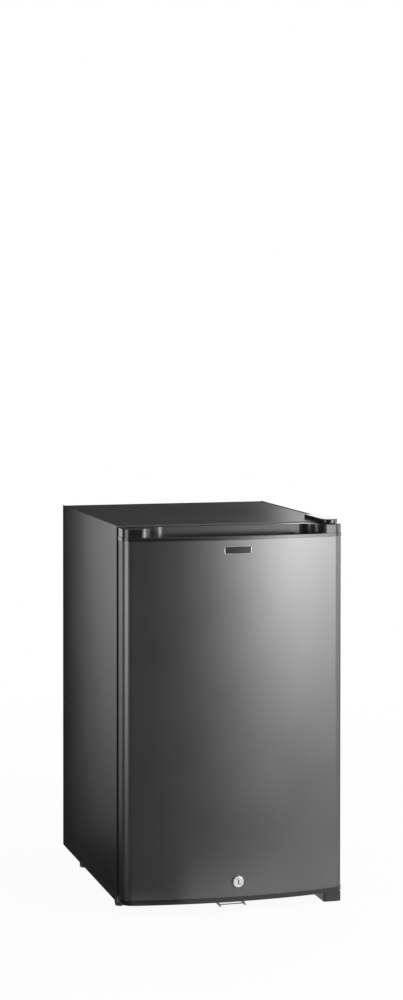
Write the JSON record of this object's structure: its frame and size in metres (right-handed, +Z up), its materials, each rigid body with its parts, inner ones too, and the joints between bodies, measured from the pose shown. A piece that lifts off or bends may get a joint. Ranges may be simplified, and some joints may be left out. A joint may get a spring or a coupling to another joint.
{
  "type": "minibar fridge",
  "caption": "Tall narrow absorption minibar fridge with a bowed hinged door, recessed top handle, key lock, wire shelves, door bins and a tube cooling unit in an open rear bay.",
  "frame": {"origin": "on the floor, at the middle of the outline", "axes": "+X to the right of someone facing the door, +Y to the back, +Z up"},
  "size_m": [0.402, 0.501, 0.6778],
  "materials": {
    "charcoal_steel": "satin charcoal paint",
    "zinc_steel": "zinc plated sheet steel",
    "black_plastic": "smooth dark plastic",
    "white_liner": "white moulded plastic",
    "foam": "rigid insulation foam",
    "nylon": "moulded nylon",
    "black_rubber": "matt black rubber",
    "black_bracket": "black painted sheet steel",
    "white_wire": "white coated wire",
    "fin_aluminium": "bare aluminium",
    "frosted_lens": "frosted clear plastic",
    "grey_knob": "grey moulded plastic",
    "copper_tube": "bare copper alloy",
    "black_tube": "black painted steel tube",
    "jacket_steel": "zinc coated sheet steel",
    "wool": "mineral wool",
    "heater_steel": "drawn steel sleeve",
    "terminal_plastic": "black moulded plastic",
    "badge": "dark face with a bright edge",
    "chrome": "polished chrome",
    "lock_zinc": "zinc plated steel",
    "clear_bin": "clear moulded plastic"
  },
  "bodies": {
    "cabinet": {"left_side_panel": "charcoal_steel", "right_side_panel": "charcoal_steel", "top_panel": "charcoal_steel", "base_panel": "zinc_steel", "back_sheet": "zinc_steel", "hinge_pins": "zinc_steel", "pan_screws": "zinc_steel", "bottom_hinge_plate": "zinc_steel", "top_hinge_plate": "zinc_steel", "keeper_plate": "zinc_steel", "unit_saddles": "zinc_steel", "hinge_foot": "black_plastic", "top_hinge_cover": "black_plastic", "front_frame": "black_plastic", "inner_liner": "white_liner", "shelf_rails": "white_liner", "drip_gutter": "white_liner", "control_housing": "white_liner", "insulation_foam": "foam", "thrust_washer": "nylon", "hinge_anchors": "nylon", "spare_hole_plugs": "nylon", "round_feet": "black_rubber", "strike_bracket": "black_bracket", "evaporator_fins": "fin_aluminium", "condenser_fins": "fin_aluminium", "lamp_lens": "frosted_lens", "sensor_tube": "copper_tube", "inlet_pins": "copper_tube", "boiler_tube": "black_tube", "condenser_tube": "black_tube", "evaporator_feed": "black_tube", "evaporator_return": "black_tube", "absorber_coil": "black_tube", "absorber_vessel": "black_tube", "liquid_return": "black_tube", "boiler_jacket": "jacket_steel", "boiler_wool": "wool", "heater_cartridge": "heater_steel", "terminal_box": "terminal_plastic", "power_inlet": "terminal_plastic"},
    "door": {"door_panel": "charcoal_steel", "door_top_cap": "black_plastic", "door_bottom_cap": "black_plastic", "door_foam": "foam", "door_liner": "white_liner", "door_gasket": "black_rubber", "door_bushes": "nylon", "badge_plate": "badge", "lock_barrel": "chrome", "lock_nut": "lock_zinc"},
    "lock": {"lock_plug": "chrome", "lock_cam": "lock_zinc", "cam_screw": "lock_zinc"},
    "knob": {"thermostat_knob": "grey_knob"},
    "lower_shelf": {"lower_shelf": "white_wire"},
    "upper_shelf": {"upper_shelf": "white_wire"},
    "lower_bin": {"lower_bin": "clear_bin"},
    "upper_bin": {"upper_bin": "clear_bin"}
  },
  "joints": [
    {"name": "door_hinge", "type": "hinge", "parent": "cabinet", "child": "door", "pos_m": [0.18, -0.2065, 0.336], "axis": [0, 0, 1], "range_deg": [0, 120]},
    {"name": "lock_turn", "type": "hinge", "parent": "door", "child": "lock", "pos_m": [0, -0.2499, 0.054], "axis": [0, -1, 0], "range_deg": [0, 90]},
    {"name": "thermostat_turn", "type": "hinge", "parent": "cabinet", "child": "knob", "pos_m": [0.139, -0.03874, 0.587], "axis": [1, 0, 0], "range_deg": [0, 270]},
    {"name": "lower_shelf_slide", "type": "slide", "parent": "cabinet", "child": "lower_shelf", "axis": [0, -1, 0], "range_m": [0, 0.02]},
    {"name": "upper_shelf_slide", "type": "slide", "parent": "cabinet", "child": "upper_shelf", "axis": [0, -1, 0], "range_m": [0, 0.02]},
    {"name": "lower_bin_lift", "type": "slide", "parent": "door", "child": "lower_bin", "axis": [0, 0, 1], "range_m": [0, 0.012]},
    {"name": "upper_bin_lift", "type": "slide", "parent": "door", "child": "upper_bin", "axis": [0, 0, 1], "range_m": [0, 0.012]}
  ]
}
